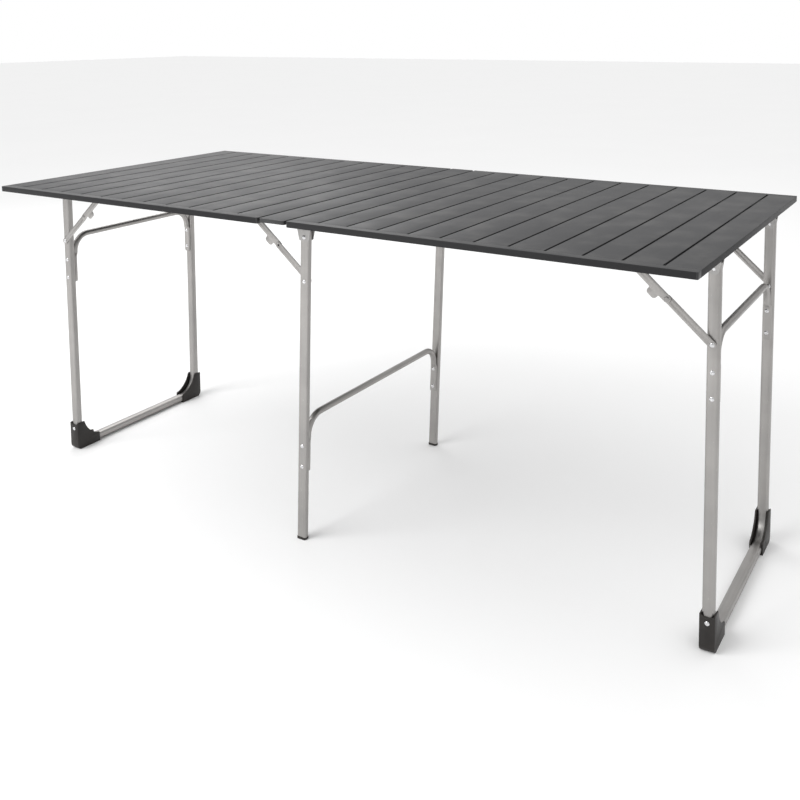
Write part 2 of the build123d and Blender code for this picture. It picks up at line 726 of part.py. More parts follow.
for name, place, extra_brackets, extra_rivets in (
    ("right", list, [], []),
    ("left", turned, middle_anchors, middle_anchor_rivets),
):
    for number, slat in enumerate(place(slats), start=1):
        write(f"{name}_slat_{number:02d}", slat)
    write(f"{name}_rails", *place(rails))
    write(f"{name}_rail_caps", *place(caps))
    write(f"{name}_stringers", *place(stringers))
    write(f"{name}_hinge_leaves", *place(panel_leaves))
    write(f"{name}_brackets", *place(brackets), *extra_brackets)
    write(f"{name}_panel_rivets", *place(panel_rivets), *extra_rivets)
    write(f"{name}_leg_tube", *place([tube]))
    write(f"{name}_crossbar", *place([bar]))
    write(f"{name}_boots", *place(boots))
    write(f"{name}_leg_rivets", *place(leg_rivets))
    write(f"{name}_lower_links", *place(lower_links))
    write(f"{name}_upper_links", *place(upper_links))

write("middle_leg_front", placed_middle(middle_leg(-1)))
write("middle_leg_back", placed_middle(middle_leg(1)))
middle_bar = crossbar(middle_y, middle_tube_deep, middle_bar_height - middle_pivot_z)
write("middle_crossbar", placed_middle(middle_bar))
write("middle_glides", *[on_the_floor(placed_middle(glide(side))) for side in sides])
write("middle_leg_rivets", *[placed_middle(solid) for solid in middle_rivets()])
middle_lowers, middle_uppers = brace_links(
    (middle_rivet_x, middle_rivet_z),
    (-middle_anchor_x, pivot_z),
    middle_lower_link_length,
    middle_face,
    -1,
)
write("middle_lower_links", *middle_lowers)
write("middle_upper_links", *middle_uppers)
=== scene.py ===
import json
import math

import bmesh
import bpy
from mathutils import Matrix, Vector


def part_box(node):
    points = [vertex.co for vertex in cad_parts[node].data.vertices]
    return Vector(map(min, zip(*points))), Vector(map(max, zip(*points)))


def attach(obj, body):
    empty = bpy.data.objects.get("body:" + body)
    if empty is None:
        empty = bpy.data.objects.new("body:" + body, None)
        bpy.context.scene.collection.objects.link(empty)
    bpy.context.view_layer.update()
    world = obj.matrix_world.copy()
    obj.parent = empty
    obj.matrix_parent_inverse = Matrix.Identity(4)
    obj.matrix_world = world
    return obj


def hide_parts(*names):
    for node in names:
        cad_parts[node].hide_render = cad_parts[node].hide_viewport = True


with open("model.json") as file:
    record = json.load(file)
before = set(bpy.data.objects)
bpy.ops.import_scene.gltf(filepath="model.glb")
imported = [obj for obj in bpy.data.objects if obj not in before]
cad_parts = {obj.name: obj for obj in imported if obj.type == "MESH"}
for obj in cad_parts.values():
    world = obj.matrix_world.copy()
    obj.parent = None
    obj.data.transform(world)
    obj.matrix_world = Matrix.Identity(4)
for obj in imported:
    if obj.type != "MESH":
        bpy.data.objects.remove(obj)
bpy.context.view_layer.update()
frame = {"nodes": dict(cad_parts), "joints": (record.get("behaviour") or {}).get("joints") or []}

# ---- Slats ---------------------------------------------------------------------------
# The top of each panel is twelve aluminium slats. Each is extruded as a shallow channel with a
# web down its middle, sawn to length and powder coated dark grey. The outermost has a deep lip.


def rounded(corners, steps=4):
    """Closed outline from (u, v, radius) corners, with an arc at each."""
    loop = []
    for index, (u, v, radius) in enumerate(corners):
        here = Vector((u, v))
        if radius <= 0:
            loop.append(here)
            continue
        before = (Vector(corners[index - 1][:2]) - here).normalized()
        after = (Vector(corners[(index + 1) % len(corners)][:2]) - here).normalized()
        half = before.angle(after) / 2
        centre = here + (before + after).normalized() * radius / math.sin(half)
        start = here + before * radius / math.tan(half) - centre
        end = here + after * radius / math.tan(half) - centre
        turn = start.angle(end)
        for step in range(steps + 1):
            share = step / steps
            swing = start * math.sin((1 - share) * turn) + end * math.sin(share * turn)
            loop.append(centre + swing / math.sin(turn))
    return [p for i, p in enumerate(loop) if (p - loop[i - 1]).length > 1e-6]


def loop_solid(loops, thickness, rounding):
    """A flat shape thickened evenly about its plane, with its rims rounded over."""
    curve = bpy.data.curves.new("outline", "CURVE")
    curve.dimensions = "2D"
    curve.fill_mode = "BOTH"
    curve.extrude = thickness / 2 - rounding
    curve.bevel_depth = rounding
    curve.bevel_resolution = 1
    curve.offset = -rounding
    for loop in loops:
        spline = curve.splines.new("POLY")
        spline.points.add(len(loop) - 1)
        for point, (u, v) in zip(spline.points, loop):
            point.co = (u, v, 0, 1)
        spline.use_cyclic_u = True
    holder = bpy.data.objects.new("outline", curve)
    mesh = bpy.data.meshes.new_from_object(holder)
    bpy.data.objects.remove(holder)
    return mesh


def laid(mesh, origin, u, v):
    """The mesh with its local X and Y along u and v."""
    w = Vector(u).cross(Vector(v))
    turn = Matrix((u, v, w)).transposed().to_4x4()
    mesh.transform(Matrix.Translation(origin) @ turn)
    return mesh


def joined(meshes):
    """Several meshes as one, with doubled points merged and faces turned outwards."""
    work = bmesh.new()
    for mesh in meshes:
        work.from_mesh(mesh)
        bpy.data.meshes.remove(mesh)
    bmesh.ops.remove_doubles(work, verts=work.verts, dist=1e-6)
    bmesh.ops.dissolve_degenerate(work, edges=work.edges, dist=1e-7)
    bmesh.ops.recalc_face_normals(work, faces=work.faces)
    mesh = bpy.data.meshes.new("joined")
    work.to_mesh(mesh)
    work.free()
    return mesh


def fitted(name, meshes, body, node, material):
    """A finished piece that stands for a CAD node and rides on its body."""
    mesh = joined(meshes)
    mesh.name = name
    mesh.shade_smooth()
    mesh.set_sharp_from_angle(angle=math.radians(32))
    mesh.materials.append(material)
    piece = bpy.data.objects.new(name, mesh)
    bpy.context.scene.collection.objects.link(piece)
    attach(piece, body)
    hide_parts(node)


def add(tree, kind, **values):
    """A shader node with the named input sockets set."""
    made = tree.nodes.new(kind)
    for socket, value in values.items():
        made.inputs[socket.replace("_", " ")].default_value = value
    return made


def sum_of(tree, operation, *terms):
    """The output of a Math node. Each term is a number or a socket."""
    made = tree.nodes.new("ShaderNodeMath")
    made.operation = operation
    for socket, term in zip(made.inputs, terms):
        if isinstance(term, (int, float)):
            socket.default_value = term
        else:
            tree.links.new(term, socket)
    return made.outputs[0]


def product(tree, one, other):
    return sum_of(tree, "MULTIPLY", one, other)


def ranged(tree, value, low, high, to_low=0.0, to_high=1.0):
    """A value read from one range into another, eased and clamped."""
    made = add(tree, "ShaderNodeMapRange")
    made.interpolation_type = "SMOOTHSTEP"
    for index, number in enumerate((low, high, to_low, to_high), start=1):
        made.inputs[index].default_value = number
    tree.links.new(value, made.inputs[0])
    return made.outputs[0]


def noise(tree, where, scale, detail=2.0, stretch=None):
    """Fine or broad mottling. A stretch squeezes it along each axis."""
    if stretch:
        mapping = add(tree, "ShaderNodeMapping", Scale=stretch)
        tree.links.new(where, mapping.inputs["Vector"])
        where = mapping.outputs[0]
    made = add(tree, "ShaderNodeTexNoise", Detail=detail)
    tree.links.new(where, made.inputs["Vector"])
    if isinstance(scale, (int, float)):
        made.inputs["Scale"].default_value = scale
    else:
        tree.links.new(scale, made.inputs["Scale"])
    return made.outputs["Fac"]


def tinted(tree, mask, plain, marked):
    """One colour turning into another where the mask is white."""
    made = tree.nodes.new("ShaderNodeMix")
    made.data_type = "RGBA"
    made.inputs["A"].default_value = (*plain, 1) if isinstance(plain, tuple) else (0, 0, 0, 1)
    if not isinstance(plain, tuple):
        tree.links.new(plain, made.inputs["A"])
    made.inputs["B"].default_value = (*marked, 1)
    tree.links.new(mask, made.inputs["Factor"])
    return made.outputs["Result"]


def shader_group(name, inputs, outputs):
    """An empty node group with float sockets, and its input and output nodes."""
    tree = bpy.data.node_groups.new(name, "ShaderNodeTree")
    for label, value in inputs.items():
        socket = tree.interface.new_socket(label, in_out="INPUT", socket_type="NodeSocketFloat")
        socket.default_value = value
    for label in outputs:
        tree.interface.new_socket(label, in_out="OUTPUT", socket_type="NodeSocketFloat")
    entry = tree.nodes.new("NodeGroupInput")
    leave = tree.nodes.new("NodeGroupOutput")
    return tree, entry.outputs, leave.inputs


def using(tree, group, **values):
    """The outputs of a shader group placed in a material with its own values."""
    made = tree.nodes.new("ShaderNodeGroup")
    made.node_tree = group
    for socket, value in values.items():
        made.inputs[socket.replace("_", " ")].default_value = value
    return made.outputs


def new_material(name, metallic, specular=0.5):
    """A material with one Principled shader."""
    material = bpy.data.materials.new(name)
    material.use_nodes = True
    tree = material.node_tree
    shader = tree.nodes["Principled BSDF"]
    shader.inputs["Metallic"].default_value = metallic
    shader.inputs["Specular IOR Level"].default_value = specular
    return material, tree, shader


def raised(tree, shader, height, distance, strength):
    """Fine relief on the surface from a height value."""
    made = add(tree, "ShaderNodeBump", Strength=strength, Distance=distance)
    tree.links.new(height, made.inputs["Height"])
    tree.links.new(made.outputs[0], shader.inputs["Normal"])


# Wear: where an edge is convex, its coating is rubbed thin in short broken lengths.
rubbed_edges, given, give = shader_group(
    "rubbed_edges", {"Width": 0.0012, "Breakup": 60.0, "Amount": 1.0}, ["Mask"]
)
edge = rubbed_edges.nodes.new("ShaderNodeBevel")
edge.samples = 4
rubbed_edges.links.new(given["Width"], edge.inputs["Radius"])
facing = rubbed_edges.nodes.new("ShaderNodeVectorMath")
facing.operation = "DOT_PRODUCT"
surface = rubbed_edges.nodes.new("ShaderNodeNewGeometry")
rubbed_edges.links.new(edge.outputs[0], facing.inputs[0])
rubbed_edges.links.new(surface.outputs["Normal"], facing.inputs[1])
edge_mask = ranged(rubbed_edges, facing.outputs["Value"], 0.995, 0.86)
place = rubbed_edges.nodes.new("ShaderNodeTexCoord").outputs["Object"]
patches = ranged(rubbed_edges, noise(rubbed_edges, place, given["Breakup"], 3.0), 0.42, 0.68)
worn = product(rubbed_edges, product(rubbed_edges, edge_mask, patches), given["Amount"])
rubbed_edges.links.new(worn, give["Mask"])

# Skin of a cured powder coat: a fine pebble, a slow drift of tone and faint handling marks.
coat_skin, given, give = shader_group(
    "coat_skin", {"Pebble": 1500.0, "Drift": 5.0}, ["Height", "Drift", "Handling"]
)
place = coat_skin.nodes.new("ShaderNodeTexCoord").outputs["Object"]
pebble = noise(coat_skin, place, given["Pebble"], 2.0)
coat_skin.links.new(pebble, give["Height"])
coat_skin.links.new(noise(coat_skin, place, given["Drift"], 3.0), give["Drift"])
streaks = noise(coat_skin, place, 34.0, 4.0, stretch=(1.0, 0.25, 1.0))
coat_skin.links.new(ranged(coat_skin, streaks, 0.5, 0.78), give["Handling"])

# Fine pale dust that has settled on what faces up.
settled_dust, given, give = shader_group("settled_dust", {"Amount": 1.0}, ["Mask"])
spot = settled_dust.nodes.new("ShaderNodeTexCoord")
upward = settled_dust.nodes.new("ShaderNodeSeparateXYZ")
settled_dust.links.new(spot.outputs["Normal"], upward.inputs[0])
flat = ranged(settled_dust, upward.outputs["Z"], 0.5, 0.95)
cloud = ranged(settled_dust, noise(settled_dust, spot.outputs["Object"], 14.0, 6.0), 0.4, 0.8)
dusty = product(settled_dust, product(settled_dust, flat, cloud), given["Amount"])
settled_dust.links.new(dusty, give["Mask"])

coat_colour = (0.058, 0.058, 0.06)
coat_pale = (0.068, 0.068, 0.07)
# Painted shade: the darker colour painted on the sides and undersides.
coat_painted_shade = (0.026, 0.026, 0.027)
coat_rubbed = (0.12, 0.12, 0.122)
dust_colour = (0.36, 0.35, 0.33)

powder_coat, tree, shader = new_material("dark_powder_coat", 0.0, 0.12)
skin = using(tree, coat_skin, Pebble=1500.0, Drift=4.5)
edges = using(tree, rubbed_edges, Width=0.0011, Breakup=42.0, Amount=0.75)
dust = using(tree, settled_dust, Amount=0.1)
# Painted shade: the sides and undersides are painted darker than the top, where shade falls on them.
painted_shade_facing = add(tree, "ShaderNodeSeparateXYZ")
tree.links.new(add(tree, "ShaderNodeTexCoord").outputs["Normal"], painted_shade_facing.inputs[0])
colour = tinted(tree, ranged(tree, skin["Drift"], 0.3, 0.7), coat_colour, coat_pale)
colour = tinted(tree, ranged(tree, painted_shade_facing.outputs["Z"], 0.9, 0.4), colour, coat_painted_shade)
colour = tinted(tree, dust["Mask"], colour, dust_colour)
colour = tinted(tree, edges["Mask"], colour, coat_rubbed)
tree.links.new(colour, shader.inputs["Base Color"])
gloss = ranged(tree, skin["Drift"], 0.25, 0.75, 0.4, 0.5)
gloss = sum_of(tree, "ADD", gloss, product(tree, skin["Handling"], 0.06))
tree.links.new(gloss, shader.inputs["Roughness"])
raised(tree, shader, skin["Height"], 0.00006, 0.35)

wall = 0.0015
top_corner = 0.0007
foot_corner = 0.0003
foot_turn = 0.0032
saw_edge = 0.00025
lip_width = 0.004
ACROSS_X, UP = (1, 0, 0), (0, 0, 1)


def channel_outline(x_low, x_high, z_low, z_high, lip_foot=None, lip_side=0):
    """Section of a slat: skirts with turned-in feet and a middle web. The lip is one deep skirt."""
    middle = (x_low + x_high) / 2
    web = wall / 2
    under = z_high - wall
    left_foot, right_foot = z_low, z_low
    left_turn, right_turn = foot_turn, foot_turn
    left_wall, right_wall = wall, wall
    if lip_side > 0:
        right_foot, right_turn, right_wall = lip_foot, lip_width, lip_width - wall
    if lip_side < 0:
        left_foot, left_turn, left_wall = lip_foot, lip_width, lip_width - wall
    small, inner = foot_corner, wall / 3
    corners = [(x_low, z_high, top_corner), (x_low, left_foot, small)]
    corners += [(x_low + left_turn, left_foot, small), (x_low + left_turn, left_foot + wall, small)]
    corners += [(x_low + left_wall, left_foot + wall, inner), (x_low + left_wall, under, inner)]
    corners += [(middle - web, under, inner), (middle - web, z_low, small)]
    corners += [(middle + web, z_low, small), (middle + web, under, inner)]
    corners += [(x_high - right_wall, under, inner), (x_high - right_wall, right_foot + wall, inner)]
    corners += [(x_high - right_turn, right_foot + wall, small), (x_high - right_turn, right_foot, small)]
    corners += [(x_high, right_foot, small), (x_high, z_high, top_corner)]
    return rounded(corners, steps=3)


def slat_mesh(node, lip_side=0):
    low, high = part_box(node)
    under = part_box("spine_slat")[0].z
    outline = channel_outline(low.x, high.x, under, high.z, low.z, lip_side)
    solid = loop_solid([outline], high.y - low.y, saw_edge)
    return laid(solid, (0, (low.y + high.y) / 2, 0), ACROSS_X, UP)


slat_numbers = range(1, 13)
for end, outward in (("left", -1), ("right", 1)):
    for number in slat_numbers:
        node = f"{end}_slat_{number:02d}"
        lip = outward if number == slat_numbers[-1] else 0
        name = f"{end}_slat_extrusion_{number:02d}"
        fitted(name, [slat_mesh(node, lip)], f"{end}_panel", node, powder_coat)

# ---- Spine ---------------------------------------------------------------------------
# The narrow slat between the panels stays put when they fold. It is the same kind of
# extrusion, closed at the front and back by rounded caps moulded in black plastic.
fitted("spine_slat_extrusion", [slat_mesh("spine_slat")], "spine", "spine_slat", powder_coat)

plastic_colour = (0.022, 0.022, 0.023)
plastic_pale = (0.04, 0.04, 0.041)
plastic_scuffed = (0.11, 0.11, 0.11)

black_plastic, tree, shader = new_material("black_cap_plastic", 0.0, 0.4)
skin = using(tree, coat_skin, Pebble=900.0, Drift=30.0)
edges = using(tree, rubbed_edges, Width=0.0008, Breakup=150.0, Amount=0.5)
colour = tinted(tree, ranged(tree, skin["Drift"], 0.3, 0.7), plastic_colour, plastic_pale)
colour = tinted(tree, edges["Mask"], colour, plastic_scuffed)
tree.links.new(colour, shader.inputs["Base Color"])
tree.links.new(ranged(tree, skin["Drift"], 0.3, 0.7, 0.42, 0.56), shader.inputs["Roughness"])
raised(tree, shader, skin["Height"], 0.00008, 0.5)

spine_cap_length = 0.005
spine_cap_corner = 0.004
cap_rim = 0.0006


def capped(low, high, corners):
    """Cap plate from its plan outline, between two heights."""
    solid = loop_solid([rounded(corners, steps=6)], high - low, cap_rim)
    return laid(solid, (0, 0, (low + high) / 2), (1, 0, 0), (0, 1, 0))


low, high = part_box("spine_end_caps")
spine_caps = []
for front_or_back in (-1, 1):
    tip = front_or_back * high.y
    root = front_or_back * (high.y - spine_cap_length)
    plan = [(low.x, root, 0), (low.x, tip, spine_cap_corner)]
    plan += [(high.x, tip, spine_cap_corner), (high.x, root, 0)]
    spine_caps.append(capped(low.z, high.z, plan))
fitted("spine_cap_pair", spine_caps, "spine", "spine_end_caps", black_plastic)

# ---- Rails and their caps ------------------------------------------------------------
# A box-section rail closes the front and back of each panel, flush with the slats. A ledge on
# its inner side takes the slat ends. Its own ends are plugged with small plastic caps.
rail_width = 0.018
ledge_width = 0.010
ledge_thickness = 0.002
rail_top_bevel = 0.0013
rail_corner = 0.0006
cap_length = 0.003
cap_corner = 0.0024


def rail_mesh(low, high, side, slat_under):
    """Extruded rail between two X values, drawn at the back and mirrored for the front."""
    back, inner = high.y, high.y - rail_width
    shelf = slat_under - ledge_thickness
    corners = [(back, low.z, rail_corner), (back, high.z, rail_top_bevel), (inner, high.z, foot_corner)]
    corners += [(inner, slat_under, foot_corner), (inner - ledge_width, slat_under, foot_corner)]
    corners += [(inner - ledge_width, shelf, foot_corner), (inner, shelf, foot_corner)]
    corners += [(inner, low.z, rail_corner)]
    bore = [(back - wall, low.z + wall, rail_corner), (back - wall, high.z - wall, rail_corner)]
    bore += [(inner + wall, high.z - wall, rail_corner), (inner + wall, low.z + wall, rail_corner)]
    loops = [rounded(corners), rounded(bore)]
    loops = [[(side * y, z) for y, z in loop] for loop in loops]
    solid = loop_solid(loops, high.x - low.x, saw_edge)
    return laid(solid, ((low.x + high.x) / 2, 0, 0), (0, 1, 0), UP)


slat_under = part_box("spine_slat")[0].z
for end, outward in (("left", -1), ("right", 1)):
    low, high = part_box(f"{end}_rails")
    rails = [rail_mesh(low, high, side, slat_under) for side in (-1, 1)]
    fitted(f"{end}_rail_pair", rails, f"{end}_panel", f"{end}_rails", powder_coat)
    low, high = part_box(f"{end}_rail_caps")
    caps = []
    for side in (-1, 1):
        for tip, root in ((low.x, low.x + cap_length), (high.x, high.x - cap_length)):
            outer, inner = side * high.y, side * (high.y - rail_width)
            plan = [(root, inner, 0), (tip, inner, rail_corner), (tip, outer, cap_corner), (root, outer, 0)]
            caps.append(capped(low.z, high.z, plan))
    fitted(f"{end}_rail_cap_set", caps, f"{end}_panel", f"{end}_rail_caps", black_plastic)

# ---- Stringers -----------------------------------------------------------------------
# Under each panel two flat aluminium bars run lengthwise and tie the slats together. They carry
# the leg brackets, and are extruded with shallow grooves and left in their mill finish.

# Drawn metal: faint lines that follow the way a tube or bar was pulled, with a slow drift.
drawn_lines, given, give = shader_group(
    "drawn_lines", {"Fineness": 1600.0, "Follow": 0.01}, ["Height", "Streak", "Drift"]
)
along = drawn_lines.nodes.new("ShaderNodeAttribute")
along.attribute_name = "drawn"
squeeze = drawn_lines.nodes.new("ShaderNodeCombineXYZ")
squeeze.inputs["X"].default_value = 1.0
squeeze.inputs["Y"].default_value = 1.0
drawn_lines.links.new(given["Follow"], squeeze.inputs["Z"])
pulled = drawn_lines.nodes.new("ShaderNodeVectorMath")
pulled.operation = "MULTIPLY"
drawn_lines.links.new(along.outputs["Vector"], pulled.inputs[0])
drawn_lines.links.new(squeeze.outputs[0], pulled.inputs[1])
drawn_lines.links.new(noise(drawn_lines, pulled.outputs[0], given["Fineness"], 3.0), give["Height"])
drawn_lines.links.new(noise(drawn_lines, pulled.outputs[0], 260.0, 3.0), give["Streak"])
drawn_lines.links.new(noise(drawn_lines, along.outputs["Vector"], 7.0, 3.0), give["Drift"])

# Handling: sparse short scratches and dull patches on bare metal.
handled, given, give = shader_group("handled", {"Patch": 26.0, "Amount": 1.0}, ["Dull", "Scratch"])
place = handled.nodes.new("ShaderNodeTexCoord").outputs["Object"]
dull = ranged(handled, noise(handled, place, given["Patch"], 5.0), 0.45, 0.75)
handled.links.new(product(handled, dull, given["Amount"]), give["Dull"])
scratch = noise(handled, place, 420.0, 1.0, stretch=(1.0, 0.16, 0.3))
scratch = ranged(handled, scratch, 0.7, 0.76)
handled.links.new(product(handled, scratch, given["Amount"]), give["Scratch"])


def bare_metal(name, plain, dulled, bright, gloss, lines):
    """Satin metal with drawn lines, dull patches and bright worn edges."""
    material, tree, shader = new_material(name, 1.0)
    drawn = using(tree, drawn_lines, Fineness=1500.0, Follow=0.012)
    wear = using(tree, handled, Patch=18.0, Amount=0.8)
    edges = using(tree, rubbed_edges, Width=0.001, Breakup=90.0, Amount=0.6)
    colour = tinted(tree, ranged(tree, drawn["Drift"], 0.3, 0.72), plain, dulled)
    colour = tinted(tree, product(tree, wear["Dull"], 0.45), colour, dulled)
    colour = tinted(tree, product(tree, wear["Scratch"], 0.35), colour, bright)
    colour = tinted(tree, edges["Mask"], colour, bright)
    tree.links.new(colour, shader.inputs["Base Color"])
    rough = ranged(tree, drawn["Streak"], 0.3, 0.7, *gloss)
    rough = sum_of(tree, "ADD", rough, product(tree, wear["Dull"], 0.08))
    tree.links.new(rough, shader.inputs["Roughness"])
    raised(tree, shader, drawn["Height"], 0.00004, lines)
    return material


mill_aluminium = bare_metal(
    "mill_aluminium", (0.50, 0.50, 0.50), (0.38, 0.38, 0.38), (0.66, 0.66, 0.66), (0.36, 0.5), 0.4
)
zinc_plate = bare_metal(
    "zinc_plate", (0.43, 0.42, 0.41), (0.33, 0.325, 0.32), (0.6, 0.6, 0.6), (0.3, 0.42), 0.15
)

groove_depth = 0.0008
groove_half = 0.004


def pulled_along(mesh, axis):
    """Marks which way a straight bar was drawn, for the lines in its finish."""
    mark = mesh.attributes.new("drawn", "FLOAT_VECTOR", "POINT")
    for vertex, entry in zip(mesh.vertices, mark.data):
        spot = [vertex.co.x, vertex.co.y, vertex.co.z]
        spot.append(spot.pop(axis))
        entry.vector = spot
    return mesh


for end in ("left", "right"):
    low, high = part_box(f"{end}_stringers")
    drawn_bars = frame["nodes"][f"{end}_stringers"].data
    inner = min(abs(vertex.co.y) for vertex in drawn_bars.vertices)
    bars = []
    for side in (-1, 1):
        corners = [(inner, high.z, foot_corner), (inner, low.z, foot_corner)]
        for share in (0.25, 0.75):
            middle = inner + (high.y - inner) * share
            roof = low.z + groove_depth
            corners += [(middle - groove_half, low.z, 0), (middle - groove_half / 2, roof, 0)]
            corners += [(middle + groove_half / 2, roof, 0), (middle + groove_half, low.z, 0)]
        corners += [(high.y, low.z, foot_corner), (high.y, high.z, foot_corner)]
        outline = [(side * y, z) for y, z in rounded(corners)]
        solid = loop_solid([outline], high.x - low.x, saw_edge)
        bars.append(laid(solid, ((low.x + high.x) / 2, 0, 0), (0, 1, 0), UP))
    solid = pulled_along(joined(bars), 0)
    node = f"{end}_stringers"
    fitted(f"{end}_stringer_pair", [solid], f"{end}_panel", node, mill_aluminium)

# ---- Hinges --------------------------------------------------------------------------
# Four steel barrel hinges on each side of the spine let the panels fold down. Their leaves lie
# under the slats and are zinc plated; their pins are plain rod.


def plated(node, material):
    """A CAD piece that keeps its shape and gets a finish."""
    mesh = frame["nodes"][node].data
    mesh.materials.clear()
    mesh.materials.append(material)


for node in ("spine_hinge_leaves", "left_hinge_leaves", "right_hinge_leaves"):
    plated(node, zinc_plate)

# ---- Brackets and brace anchors ------------------------------------------------------
# Each leg hangs in a bracket pressed from 2 mm steel plate: a web under the top and two ears
# that taper down to the pivot. The brace anchors are the same plate bent once. Zinc plated.
plate = 0.002
plate_rim = 0.0003
bend_outside = 0.0028
bend_inside = 0.0010
ear_clearance = 0.0003


def ring(u, v, radius, steps=28):
    turn = 2 * math.pi / steps
    return [(u + radius * math.cos(turn * i), v + radius * math.sin(turn * i)) for i in range(steps)]


def worked(mesh, other, operation):
    """One solid cut by, or kept only within, another."""
    holders = [bpy.data.objects.new("work", solid) for solid in (mesh, other)]
    for holder in holders:
        bpy.context.scene.collection.objects.link(holder)
    change = holders[0].modifiers.new("work", "BOOLEAN")
    change.operation = operation
    change.object = holders[1]
    change.solver = "EXACT"
    seen = holders[0].evaluated_get(bpy.context.evaluated_depsgraph_get())
    result = bpy.data.meshes.new_from_object(seen)
    for holder in holders:
        bpy.data.objects.remove(holder)
    return result


def bent_plate(section, face, middle_x, middle_y, length, depth):
    """Plate bent to a section in YZ, cut to an outline in XZ."""
    bent = laid(loop_solid([section], length, plate_rim), (middle_x, middle_y, 0), (0, 1, 0), UP)
    cutter = laid(loop_solid(face, depth, plate_rim), (middle_x, middle_y, 0), ACROSS_X, UP)
    return worked(bent, cutter, "INTERSECT")


def u_bracket(x, y, top, half_inside, face, length, drop):
    outside = half_inside + plate
    corners = [(-outside, top - drop, 0), (-outside, top, bend_outside), (outside, top, bend_outside)]
    corners += [(outside, top - drop, 0), (half_inside, top - drop, 0)]
    corners += [(half_inside, top - plate, bend_inside), (-half_inside, top - plate, bend_inside)]
    corners += [(-half_inside, top - drop, 0)]
    return bent_plate(rounded(corners), face, x, y, length, 4 * outside)


def ear_face(top, half_width, lobe, pivot_z, pin_radius, bottom, bottom_corner):
    """Ear outline about x = 0, with the pivot hole."""
    corners = [(-half_width, top + plate, 0), (-half_width, top - plate, 0)]
    corners += [(-lobe, bottom, bottom_corner), (lobe, bottom, bottom_corner)]
    corners += [(half_width, top - plate, 0), (half_width, top + plate, 0)]
    return [rounded(corners, steps=8), ring(0, pivot_z, pin_radius)]


pivot = {joint["name"]: Vector(joint["pos_m"]) for joint in frame["joints"]}
leg_tube_deep = 0.019
leg_pin = 0.003
link_pin = 0.0025
ear_lobe = 0.009
ear_half_width = 0.016
leg_ear_half_width = 0.0125
ear_round = 0.96 * ear_lobe
ear_spare = 1.5 * ear_lobe
anchor_foot = 0.014
anchor_cutter = 6 * anchor_foot
rail_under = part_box("right_rails")[0].z
end_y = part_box("right_leg_tube")[1].y - leg_tube_deep / 2


def tapered_face(half_width, z, pin_radius):
    """Outline of an ear that hangs from a panel, rounded about its pivot."""
    return ear_face(rail_under, half_width, ear_lobe, z, pin_radius, z - ear_lobe, ear_round)


def leg_brackets(x, z):
    face = tapered_face(leg_ear_half_width, z, leg_pin)
    half_inside = leg_tube_deep / 2 + ear_clearance
    drop = rail_under - z + ear_spare
    length = 2 * leg_ear_half_width
    return [u_bracket(x, side * end_y, rail_under, half_inside, face, length, drop) for side in (-1, 1)]


link_gap = 0.0003
upper_link_near = 2 * plate + 3 * link_gap
anchor_near = upper_link_near + plate + link_gap


def anchor_plates(x, z, leg_face, outward):
    """Angle plates whose ears stand outside the brace's upper links."""
    face = tapered_face(ear_half_width, z, link_pin)
    plates = []
    for side in (-1, 1):
        way = side * outward
        near, far = 0, plate
        foot = far + anchor_foot
        bottom = z - ear_spare
        corners = [(near, bottom, 0), (near, rail_under, bend_outside), (foot, rail_under, foot_corner)]
        corners += [(foot, rail_under - plate, foot_corner), (far, rail_under - plate, bend_inside)]
        corners += [(far, bottom, 0)]
        section = [(way * y, level) for y, level in rounded(corners)]
        base = side * leg_face + way * anchor_near
        plates.append(bent_plate(section, face, x, base, 2 * ear_half_width, anchor_cutter))
    return plates


half_turn = Matrix.Rotation(math.pi, 4, "Z")


def turned(meshes, end):
    """The right-hand pieces as drawn, or turned round for the left end."""
    if end == "left":
        for mesh in meshes:
            mesh.transform(half_turn)
    return meshes


leg_pivot = pivot["right_leg_fold"]
anchor_pivot = pivot["right_upper_link_turn"]
middle_anchor = pivot["middle_upper_link_turn"]
middle_tube_deep = 0.0135
middle_low, middle_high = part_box("middle_leg_back")
middle_y = (middle_low.y + middle_high.y) / 2
end_face = end_y + leg_tube_deep / 2
middle_face = middle_y - middle_tube_deep / 2
for end in ("left", "right"):
    plates = leg_brackets(leg_pivot.x, leg_pivot.z)
    plates += anchor_plates(anchor_pivot.x, anchor_pivot.z, end_face, 1)
    plates = turned(plates, end)
    if end == "left":
        plates += anchor_plates(middle_anchor.x, middle_anchor.z, middle_face, -1)
    fitted(f"{end}_bracket_set", plates, f"{end}_panel", f"{end}_brackets", zinc_plate)

middle_pivot = pivot["middle_leg_swing"]
middle_bracket_half = 0.024
middle_lobe = 0.0125
middle_corner = 0.003
middle_bottom = middle_pivot.z - 0.0075
face = ear_face(
    slat_under, middle_bracket_half, middle_lobe, middle_pivot.z, leg_pin, middle_bottom, middle_corner
)
middle_plates = []
for side in (-1, 1):
    half_inside = middle_tube_deep / 2 + ear_clearance
    drop = slat_under - middle_bottom + plate
    spread = 2 * middle_bracket_half
    middle_plates.append(u_bracket(0, side * middle_y, slat_under, half_inside, face, spread, drop))
fitted("middle_bracket_pair", middle_plates, "spine", "middle_leg_brackets", zinc_plate)

# ---- End leg frames ------------------------------------------------------------------
# Two legs and the floor rail between them are one length of flat-sided aluminium tube, bent at
# the two floor corners and satin anodised. The tube's ends stay open inside the brackets.
satin_aluminium = bare_metal(
    "satin_aluminium", (0.41, 0.396, 0.383), (0.35, 0.34, 0.331), (0.62, 0.61, 0.6), (0.34, 0.46), 0.3
)

leg_tube_wide = 0.023
leg_tube_corner = 0.006
leg_tube_wall = 0.0015
leg_bend = 0.055
leg_above_pivot = 0.011
sole = 0.003
open_depth = 0.02


